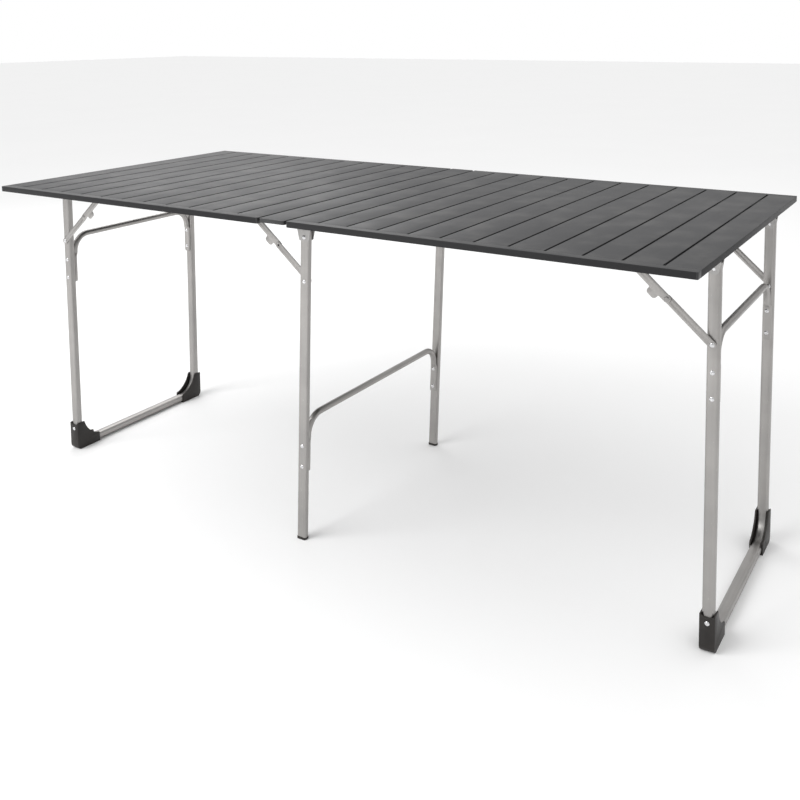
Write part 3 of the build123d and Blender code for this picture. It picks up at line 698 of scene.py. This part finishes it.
def bent_path(corners, radius, steps=14):
    """Centre line in a plane as (point, tangent) pairs, with an arc at each inner corner."""
    corners = [Vector(corner) for corner in corners]
    path = [(corners[0], (corners[1] - corners[0]).normalized())]
    for before, here, after in zip(corners, corners[1:], corners[2:]):
        into, out = (here - before).normalized(), (after - here).normalized()
        turn = into.angle(out)
        reach = radius * math.tan(turn / 2)
        start = here - into * reach
        centre = start + (out - into * math.cos(turn)).normalized() * radius
        inward = (start - centre) / radius
        for step in range(steps + 1):
            angle = turn * step / steps
            spoke = inward * math.cos(angle) + into * math.sin(angle)
            path.append((centre + spoke * radius, into * math.cos(angle) - inward * math.sin(angle)))
    path.append((corners[-1], (corners[-1] - corners[-2]).normalized()))
    return path


def skinned(stations):
    """Skin over (point, tangent, section) stations in the YZ plane, closed at both ends."""
    work = bmesh.new()
    layer = work.verts.layers.float_vector.new("drawn")
    rows, run = [], 0.0
    before = stations[0][0]
    for point, tangent, section in stations:
        run += (point - before).length
        before = point
        normal = Vector((-tangent.y, tangent.x))
        row = []
        for u, v in section:
            vertex = work.verts.new((u, *(point + normal * v)))
            vertex[layer] = (u, v, run)
            row.append(vertex)
        rows.append(row)
    for row, following in zip(rows, rows[1:]):
        for i in range(len(row)):
            work.faces.new((row[i - 1], row[i], following[i], following[i - 1]))
    work.faces.new(rows[0])
    work.faces.new(list(reversed(rows[-1])))
    mesh = bpy.data.meshes.new("skin")
    work.to_mesh(mesh)
    work.free()
    return mesh


def box_ring(wide, deep, corner, steps=5):
    half_wide, half_deep = wide / 2, deep / 2
    corners = [(half_wide, half_deep, corner), (-half_wide, half_deep, corner)]
    corners += [(-half_wide, -half_deep, corner), (half_wide, -half_deep, corner)]
    return rounded(corners, steps)


def tube_mesh(path, wide, deep, corner, thickness):
    """Open-ended tube along a path in the YZ plane. The wide side is along X."""
    outer = box_ring(wide, deep, corner)
    inner = box_ring(wide - 2 * thickness, deep - 2 * thickness, corner - thickness)
    first, last = path[0], path[-1]
    stations = [(first[0] + first[1] * open_depth, first[1], inner), (*first, inner)]
    stations += [(*station, outer) for station in path]
    stations += [(*last, inner), (last[0] - last[1] * open_depth, last[1], inner)]
    return skinned(stations)


brace_rivet = pivot["right_lower_link_turn"]
lean = math.atan2(brace_rivet.x - leg_pivot.x, leg_pivot.z - brace_rivet.z)
frame_drop = leg_pivot.z / math.cos(lean)
floor_rail = -frame_drop + sole + leg_tube_deep / 2
end_frame = Matrix.Translation(leg_pivot) @ Matrix.Rotation(-lean, 4, "Y")
frame_corners = [(-end_y, leg_above_pivot), (-end_y, floor_rail)]
frame_corners += [(end_y, floor_rail), (end_y, leg_above_pivot)]


def stood(meshes, stand):
    for mesh in meshes:
        mesh.transform(stand)
    return meshes


for end in ("left", "right"):
    path = bent_path(frame_corners, leg_bend)
    tube = tube_mesh(path, leg_tube_wide, leg_tube_deep, leg_tube_corner, leg_tube_wall)
    tube = turned(stood([tube], end_frame), end)
    fitted(f"{end}_leg_frame", tube, f"{end}_leg", f"{end}_leg_tube", satin_aluminium)

# ---- Crossbars -----------------------------------------------------------------------
# Each crossbar is round aluminium tube bent into a wide inverted U. Its two arms are pressed
# flat, rounded at the tips and riveted to the inner faces of the legs.
bar_radius = 0.0075
bar_bend = 0.045
bar_flat_wide = 0.019
bar_flat_deep = 0.008
bar_flat_corner = 0.0035
bar_arm = 0.128
bar_press = 0.011
bar_tip = 0.006
bar_straight = 0.001
bar_steps = 6
end_bar_height = 0.607


def pressed_ring(pressing, width_share):
    """Section of the bar between round (0) and pressed flat (1), shifted to lie on the leg."""
    wide, corner = bar_flat_wide * width_share, bar_flat_corner * width_share
    flat = box_ring(wide, bar_flat_deep, corner)
    count = len(flat)
    shift = (bar_radius - bar_flat_deep / 2) * pressing
    section = []
    for index, (u, v) in enumerate(flat):
        angle = 2 * math.pi * (index + 0.5) / count
        round_u, round_v = bar_radius * math.cos(angle), bar_radius * math.sin(angle)
        u = round_u + (u - round_u) * pressing
        v = round_v + (v - round_v) * pressing
        section.append((u, v + shift))
    return section


def crossbar_mesh(leg_inner_face, run):
    arm_y = leg_inner_face - bar_radius
    foot = run - bar_arm
    corners = [(-arm_y, foot), (-arm_y, run), (arm_y, run), (arm_y, foot)]
    bends = bent_path(corners, bar_bend)[1:-1]
    round_from = run - bar_bend - bar_straight
    arm = []
    for step in range(bar_steps + 1):
        angle = math.pi / 2 * step / bar_steps
        share = math.sin(angle)
        rise = bar_tip * (1 - math.cos(angle))
        width = 1 - (bar_tip * (1 - share)) * 2 / bar_flat_wide
        arm.append((foot + rise, 1.0, width))
    for step in range(bar_steps + 1):
        share = step / bar_steps
        ease = share * share * (3 - 2 * share)
        arm.append((round_from - bar_press * (1 - share), 1 - ease, 1.0))
    stations = [(Vector((-arm_y, z)), Vector((0, 1)), flat, wide) for z, flat, wide in arm]
    stations += [(*station, 0.0, 1.0) for station in bends]
    stations += [(Vector((arm_y, z)), Vector((0, -1)), flat, wide) for z, flat, wide in reversed(arm)]
    return skinned([(point, way, pressed_ring(flat, wide)) for point, way, flat, wide in stations])


end_bar_z = end_bar_height - leg_pivot.z
end_inner_face = end_y - leg_tube_deep / 2
for end in ("left", "right"):
    bar = turned(stood([crossbar_mesh(end_inner_face, end_bar_z)], end_frame), end)
    fitted(f"{end}_frame_crossbar", bar, f"{end}_leg", f"{end}_crossbar", satin_aluminium)

# ---- Corner boots --------------------------------------------------------------------
# A moulded dark plastic boot wraps each floor corner of the end frames. Its cheeks rise beside
# the leg and the rail with a hollow curve between. The top edge dips, and one rivet holds it.
boot_colour = (0.017, 0.015, 0.014)
boot_pale = (0.027, 0.024, 0.022)
boot_scuffed = (0.075, 0.07, 0.066)

boot_plastic, tree, shader = new_material("moulded_boot_plastic", 0.0, 0.3)
skin = using(tree, coat_skin, Pebble=700.0, Drift=22.0)
edges = using(tree, rubbed_edges, Width=0.0016, Breakup=120.0, Amount=0.7)
dust = using(tree, settled_dust, Amount=0.2)
colour = tinted(tree, ranged(tree, skin["Drift"], 0.3, 0.7), boot_colour, boot_pale)
colour = tinted(tree, product(tree, skin["Handling"], 0.3), colour, boot_scuffed)
colour = tinted(tree, dust["Mask"], colour, dust_colour)
colour = tinted(tree, edges["Mask"], colour, boot_scuffed)
tree.links.new(colour, shader.inputs["Base Color"])
tree.links.new(ranged(tree, skin["Drift"], 0.3, 0.7, 0.36, 0.5), shader.inputs["Roughness"])
raised(tree, shader, skin["Height"], 0.0001, 0.5)

boot_wall = 0.003
boot_cheek = 0.0034
boot_height = 0.077
boot_length = 0.077
boot_corner = 0.014
boot_rise = 0.027
boot_beside_leg = 0.026
boot_rim = 0.0011
boot_ear = 0.003
boot_hollow = 0.0085
boot_dip = 0.006
boot_dip_radius = 0.019
boot_inside_rim = 0.0004
tube_fit = 0.0001


def hollow_curve(start, end, depth, steps=10):
    """Points of a shallow arc from start to end, bowed to the right of that direction."""
    start, end = Vector(start), Vector(end)
    chord = end - start
    aside = Vector((chord.y, -chord.x)).normalized()
    points = []
    for step in range(1, steps):
        share = step / steps
        points.append(start + chord * share + aside * depth * 4 * share * (1 - share))
    return points


def boot_mesh():
    """Boot of the corner at +Y, about the leg's pivot."""
    outer = end_y + leg_tube_deep / 2 + boot_wall
    under = -frame_drop - sole / 6
    top, rise = -frame_drop + boot_height, -frame_drop + boot_rise
    back = outer - boot_length
    leg_side = outer - boot_beside_leg
    hollow = hollow_curve((back + boot_ear, rise), (leg_side, top - boot_ear), boot_hollow)
    corners = [(leg_side, top, boot_ear), (leg_side, top - boot_ear, 0)]
    corners += [(*point, 0) for point in reversed(hollow)]
    corners += [(back, rise, boot_ear), (back, under, sole / 2)]
    corners += [(outer, under, boot_corner), (outer, top, boot_ear / 2)]
    wide = leg_tube_wide + 2 * boot_cheek
    body = laid(loop_solid([rounded(corners, 8)], wide, boot_rim), (0, 0, 0), (0, 1, 0), UP)
    reach = leg_tube_deep / 2 + tube_fit
    inside = leg_bend + reach
    half = end_y + reach
    roof = top + boot_height
    room = [(half, floor_rail - reach, inside), (half, roof, 0), (-half, roof, 0)]
    room += [(-half, floor_rail - reach, inside)]
    channel = loop_solid([rounded(room, 16)], leg_tube_wide + 2 * tube_fit, boot_inside_rim)
    body = worked(body, laid(channel, (0, 0, 0), (0, 1, 0), UP), "DIFFERENCE")
    dip = ring(0, top + boot_dip_radius - boot_dip, boot_dip_radius, 48)
    dip = loop_solid([dip], 4 * boot_wall, boot_inside_rim)
    return worked(body, laid(dip, (0, outer, 0), ACROSS_X, UP), "DIFFERENCE")


def on_floor(meshes):
    """Soles ground level with the floor."""
    for mesh in meshes:
        for vertex in mesh.vertices:
            vertex.co.z = max(vertex.co.z, 0.0)
    return meshes


for end in ("left", "right"):
    boots = [boot_mesh(), turned([boot_mesh()], "left")[0]]
    boots = turned(on_floor(stood(boots, end_frame)), end)
    fitted(f"{end}_boot_pair", boots, f"{end}_leg", f"{end}_boots", boot_plastic)

# ---- Middle legs ---------------------------------------------------------------------
# Two straight legs of smaller flat-sided aluminium tube hang from the spine, joined low down by
# a crossbar of their own. Each stands on a thin plastic glide pushed into its end.
middle_tube_wide = 0.023
middle_tube_corner = 0.0035
middle_tube_wall = 0.0014
middle_above_pivot = 0.013
glide_rim = 0.006
glide_proud = 0.0006
glide_round = 0.0008
glide_bury = 0.001
middle_bar_height = 0.290
middle_rivet = pivot["middle_lower_link_turn"]
middle_lean = math.atan2(-middle_rivet.x, middle_pivot.z - middle_rivet.z)
middle_stand = Matrix.Translation(middle_pivot) @ Matrix.Rotation(middle_lean, 4, "Y")
middle_drop = middle_pivot.z / math.cos(middle_lean)
glide_top = -middle_drop + glide_rim

glides = []
for name, side in (("front", -1), ("back", 1)):
    path = [(Vector((side * middle_y, middle_above_pivot)), Vector((0, -1)))]
    path.append((Vector((side * middle_y, glide_top)), Vector((0, -1))))
    leg = tube_mesh(path, middle_tube_wide, middle_tube_deep, middle_tube_corner, middle_tube_wall)
    node = f"middle_leg_{name}"
    leg = stood([leg], middle_stand)
    fitted(f"middle_leg_tube_{name}", leg, "middle_leg", node, satin_aluminium)
    wide, deep = middle_tube_wide + 2 * glide_proud, middle_tube_deep + 2 * glide_proud
    rim = loop_solid([box_ring(wide, deep, middle_tube_corner)], glide_rim + glide_bury, glide_round)
    spot = (0, side * middle_y, glide_top - (glide_rim + glide_bury) / 2)
    glides.append(laid(rim, spot, (1, 0, 0), (0, 1, 0)))
glides = on_floor(stood(glides, middle_stand))
fitted("middle_glide_pair", glides, "middle_leg", "middle_glides", boot_plastic)

middle_bar = stood([crossbar_mesh(middle_face, middle_bar_height - middle_pivot.z)], middle_stand)
fitted("middle_leg_crossbar", middle_bar, "middle_leg", "middle_crossbar", satin_aluminium)

# ---- Braces --------------------------------------------------------------------------
# Each brace is two flat links stamped from 2 mm plate with rolled edges. The upper one has a
# thumb tab beside the knuckle: pushing the tab breaks the straight line so the leg can fold.
link_wide = 0.015
link_rim = 0.00045
link_end_round = 0.995
tab_start = 0.015
tab_end = 0.037
tab_reach = 0.0195
tab_corner = 0.0065
tab_neck = 0.0025
lower_near = plate + 2 * link_gap


def brace_direction(foot, top):
    return (Vector((top.x, top.z)) - Vector((foot.x, foot.z))).normalized()


def link_mesh(outline, holes, start, way, layer_middle):
    loops = [rounded(outline, 8)] + [ring(at, 0, link_pin) for at in holes]
    solid = loop_solid(loops, plate, link_rim)
    along = Vector((way.x, 0, way.y))
    return laid(solid, (start.x, layer_middle, start.y), along, (-way.y, 0, way.x))


def brace_meshes(foot, top, lower_length, leg_face, outward):
    """Lower links, then upper links, at the front and the back."""
    way = brace_direction(foot, top)
    foot, top = Vector((foot.x, foot.z)), Vector((top.x, top.z))
    knuckle = foot + way * lower_length
    upper_length = (top - knuckle).length
    half = link_wide / 2
    full = half * link_end_round
    lower = [(-half, -half, full), (lower_length + half, -half, full)]
    lower += [(lower_length + half, half, full), (-half, half, full)]
    upper = [(-half, -half, full), (upper_length + half, -half, full), (upper_length + half, half, full)]
    upper += [(tab_end, half, tab_neck), (tab_end, tab_reach, tab_corner), (tab_start, tab_reach, tab_corner)]
    upper += [(tab_start, half, tab_neck), (-half, half, full)]
    lowers, uppers = [], []
    for side in (-1, 1):
        spot = side * leg_face + side * outward * (lower_near + plate / 2)
        lowers.append(link_mesh(lower, (0, lower_length), foot, way, spot))
        spot = side * leg_face + side * outward * (upper_link_near + plate / 2)
        uppers.append(link_mesh(upper, (upper_length,), knuckle, way, spot))
    return lowers, uppers, knuckle


head_radius = 0.0048
head_height = 0.0016
washer_round = 0.0002
rivet_turns = 24


def spun(profile, origin, axis_y):
    """A profile of (radius, height) spun about an axis that points along +Y or -Y."""
    work = bmesh.new()
    rows = []
    for radius, height in profile:
        if radius == 0:
            rows.append([work.verts.new((0, 0, height))] * rivet_turns)
            continue
        row = []
        for step in range(rivet_turns):
            angle = 2 * math.pi * step / rivet_turns
            row.append(work.verts.new((radius * math.cos(angle), radius * math.sin(angle), height)))
        rows.append(row)
    for row, following in zip(rows, rows[1:]):
        for i in range(rivet_turns):
            corners = [row[i - 1], row[i], following[i], following[i - 1]]
            work.faces.new(list(dict.fromkeys(corners)))
    mesh = bpy.data.meshes.new("spun")
    work.to_mesh(mesh)
    work.free()
    return laid(mesh, origin, (1, 0, 0), (0, 0, -axis_y))


def head_profile(radius, height, shank, depth):
    """Domed head with a small dimple, on a shank that goes in by a depth."""
    profile = [(0, 0.8 * height), (0.2 * radius, 0.84 * height), (0.3 * radius, height)]
    profile += [(0.5 * radius, 0.93 * height), (0.72 * radius, 0.72 * height), (0.88 * radius, 0.44 * height)]
    profile += [(0.98 * radius, 0.14 * height), (radius, 0), (shank, 0), (shank, -depth), (0, -depth)]
    return profile


def headed(x, z, y, way, depth=0.004, shank=link_pin):
    """Rivet head that sits on a face at y and looks along way."""
    return spun(head_profile(head_radius, head_height, shank, depth), (x, y, z), way)


def washer(x, z, y_near, y_far):
    thick = abs(y_far - y_near)
    flat = head_radius * 0.94
    profile = [(0, 0), (flat, 0), (head_radius, washer_round)]
    profile += [(head_radius, thick - washer_round), (flat, thick), (0, thick)]
    return spun(profile, (x, y_near, z), 1 if y_far > y_near else -1)


def fit_links(end, lowers, uppers):
    """The lower pair and the upper pair of a brace, each on its own body."""
    for links, level in ((lowers, "lower"), (uppers, "upper")):
        node = f"{end}_{level}_links"
        fitted(f"{end}_{level}_link_pair", links, node, node, satin_aluminium)


lower_length = 0.1115
middle_lower_length = 0.108
upper_outer = upper_link_near + plate
for end in ("left", "right"):
    lowers, uppers, knuckle = brace_meshes(brace_rivet, anchor_pivot, lower_length, end_face, 1)
    for side in (-1, 1):
        uppers.append(headed(knuckle.x, knuckle.y, side * (end_face + upper_outer), side, plate))
    fit_links(end, turned(lowers, end), turned(uppers, end))
lowers, uppers, knuckle = brace_meshes(middle_rivet, middle_anchor, middle_lower_length, middle_face, -1)
for side in (-1, 1):
    uppers.append(headed(knuckle.x, knuckle.y, side * (middle_face - upper_outer), -side, plate))
fit_links("middle", lowers, uppers)

# ---- Rivets and pins -----------------------------------------------------------------
# Bright domed steel rivets hold the crossbars, boots and braces. Spacer washers on the brace
# rivets hold the links clear of the legs. The pins of the leg brackets and hinges are plain rod.
bright_steel = bare_metal(
    "bright_rivet_steel", (0.74, 0.74, 0.75), (0.6, 0.6, 0.61), (0.9, 0.9, 0.9), (0.16, 0.26), 0.05
)
bar_first_rivet = 0.063
bar_rivet_spacing = 0.0495
boot_rivet_height = 0.060
boot_rivet_depth = 0.9 * boot_wall
pin_chamfer = 0.0003
brace_arm = (brace_rivet - leg_pivot).length
middle_arm = (middle_rivet - middle_pivot).length


def through(x, z, y_low, y_high, shank=link_pin):
    """Rivet with a head at both ends."""
    depth = (y_high - y_low) / 2
    return [headed(x, z, y_low, -1, depth, shank), headed(x, z, y_high, 1, depth, shank)]


def plain_pin(x, z, y_low, y_high, radius):
    """Rod without a head, its ends chamfered."""
    length = y_high - y_low
    profile = [(0, 0), (radius - pin_chamfer, 0), (radius, pin_chamfer)]
    profile += [(radius, length - pin_chamfer), (radius - pin_chamfer, length), (0, length)]
    return spun(profile, (x, y_low, z), 1)


def bar_rivets(run, leg_inner, leg_outer):
    """Rivets through the crossbar arms and the legs, about the leg's pivot."""
    made = []
    for drop in (bar_first_rivet, bar_first_rivet + bar_rivet_spacing):
        for side in (-1, 1):
            ends = sorted((side * (leg_inner - bar_flat_deep), side * leg_outer))
            made += through(0, run - drop, *ends)
    return made


def brace_rivets(arm, near_face, far_face, outward):
    """Leg rivets of the braces, with the spacer between leg and link."""
    made = []
    for side in (-1, 1):
        link_outside = side * (near_face + outward * (lower_near + plate + link_gap / 2))
        ends = sorted((side * far_face, link_outside))
        made += through(0, -arm, *ends)
        made.append(washer(0, -arm, side * near_face, side * (near_face + outward * lower_near)))
    return made


for end in ("left", "right"):
    rivets = bar_rivets(end_bar_z, end_inner_face, end_face)
    rivets += brace_rivets(brace_arm, end_face, end_inner_face, 1)
    for side in (-1, 1):
        face = side * (end_face + boot_wall)
        rivets.append(headed(0, -frame_drop + boot_rivet_height, face, side, boot_rivet_depth))
    rivets = turned(stood(rivets, end_frame), end)
    fitted(f"{end}_leg_rivet_set", rivets, f"{end}_leg", f"{end}_leg_rivets", bright_steel)

    pins = []
    half = leg_tube_deep / 2 + ear_clearance + plate
    for side in (-1, 1):
        middle = side * end_y
        pins.append(plain_pin(leg_pivot.x, leg_pivot.z, middle - half, middle + half, leg_pin))
        outer = side * (end_face + anchor_near + plate)
        pins.append(headed(anchor_pivot.x, anchor_pivot.z, outer, side, 2 * plate + link_gap))
    pins = turned(pins, end)
    if end == "left":
        for side in (-1, 1):
            outer = side * (middle_face - anchor_near - plate)
            pins.append(headed(middle_anchor.x, middle_anchor.z, outer, -side, 2 * plate + link_gap))
    fitted(f"{end}_pivot_rivet_set", pins, f"{end}_panel", f"{end}_panel_rivets", bright_steel)

middle_outer_face = middle_y + middle_tube_deep / 2
rivets = bar_rivets(middle_bar_height - middle_pivot.z, middle_face, middle_outer_face)
rivets += brace_rivets(middle_arm, middle_face, middle_outer_face, -1)
rivets = stood(rivets, middle_stand)
fitted("middle_leg_rivet_set", rivets, "middle_leg", "middle_leg_rivets", bright_steel)

hinge_pivot = pivot["right_panel_fold"]
hinge_half = 0.030
hinge_pin = 0.0025
hinge_ys = (0.100, 0.188)
rods = []
for end in (-1, 1):
    for y in hinge_ys:
        for side in (-1, 1):
            low, high = side * y - hinge_half, side * y + hinge_half
            rods.append(plain_pin(end * hinge_pivot.x, hinge_pivot.z, low, high, hinge_pin))
half = middle_tube_deep / 2 + ear_clearance + plate
for side in (-1, 1):
    rods.append(headed(0, middle_pivot.z, side * (middle_y + half), side, 2 * half, leg_pin))
fitted("spine_pin_set", rods, "spine", "spine_pins", bright_steel)

# ---- Floor, light and camera ---------------------------------------------------------
# A wide pale floor, two soft lamps and a surround that is seen white but lights mostly from above.
floor_mesh = bpy.data.meshes.new("floor")
reach = 30.0
floor_mesh.from_pydata(
    [(-reach, -reach, 0), (reach, -reach, 0), (reach, reach, 0), (-reach, reach, 0)], [], [(0, 1, 2, 3)]
)
floor = bpy.data.objects.new("studio_floor", floor_mesh)
bpy.context.scene.collection.objects.link(floor)
floor_material, tree, shader = new_material("studio_floor", 0.0, 0.2)
shader.inputs["Roughness"].default_value = 0.8
tone = noise(tree, add(tree, "ShaderNodeTexCoord").outputs["Object"], 1.2, 2.0)
tree.links.new(tinted(tree, tone, (0.93, 0.93, 0.93), (0.95, 0.95, 0.95)), shader.inputs["Base Color"])
floor_mesh.materials.append(floor_material)

surround = bpy.data.worlds.new("studio_white")
surround.use_nodes = True
tree = surround.node_tree
lit = tree.nodes["Background"]
height = tree.nodes.new("ShaderNodeSeparateXYZ")
tree.links.new(tree.nodes.new("ShaderNodeTexCoord").outputs["Generated"], height.inputs[0])
tree.links.new(ranged(tree, height.outputs["Z"], -0.1, 0.9, 0.4, 1.1), lit.inputs["Strength"])
lit.inputs["Color"].default_value = (1, 1, 1, 1)
seen = add(tree, "ShaderNodeBackground", Color=(1, 1, 1, 1), Strength=1.0)
choice = tree.nodes.new("ShaderNodeMixShader")
tree.links.new(tree.nodes.new("ShaderNodeLightPath").outputs["Is Camera Ray"], choice.inputs[0])
tree.links.new(lit.outputs[0], choice.inputs[1])
tree.links.new(seen.outputs[0], choice.inputs[2])
tree.links.new(choice.outputs[0], tree.nodes["World Output"].inputs["Surface"])
bpy.context.scene.world = surround
bpy.context.scene.view_settings.view_transform = "Standard"


def soft_lamp(name, place, size, power):
    lamp = bpy.data.lights.new(name, "AREA")
    lamp.size = size
    lamp.energy = power
    lamp_object = bpy.data.objects.new(name, lamp)
    lamp_object.location = place
    aim = Vector((0, 0, 0.5)) - Vector(place)
    lamp_object.rotation_euler = aim.to_track_quat("-Z", "Y").to_euler()
    bpy.context.scene.collection.objects.link(lamp_object)


soft_lamp("key_softbox", (-1.6, -3.0, 3.0), 2.6, 105.0)
soft_lamp("fill_softbox", (-2.8, 2.2, 2.6), 2.2, 24.0)

camera_place = (1.2873, -1.9549, 1.1599)
camera_azimuth, camera_elevation, camera_roll = 31.7455, 8.6048, -0.3806
camera = bpy.data.cameras.new("camera")
camera.sensor_width = 36.0
camera.lens = 43.972
camera.shift_x = -0.01027
camera.shift_y = -0.28
camera_object = bpy.data.objects.new("camera", camera)
azimuth, elevation = math.radians(camera_azimuth), math.radians(camera_elevation)
level = math.cos(elevation)
ahead = Vector((-math.sin(azimuth) * level, math.cos(azimuth) * level, -math.sin(elevation)))
turn = ahead.to_track_quat("-Z", "Y") @ Matrix.Rotation(math.radians(camera_roll), 3, "Z").to_quaternion()
camera_object.rotation_mode = "QUATERNION"
camera_object.rotation_quaternion = turn
camera_object.location = camera_place
bpy.context.scene.collection.objects.link(camera_object)
bpy.context.scene.camera = camera_object
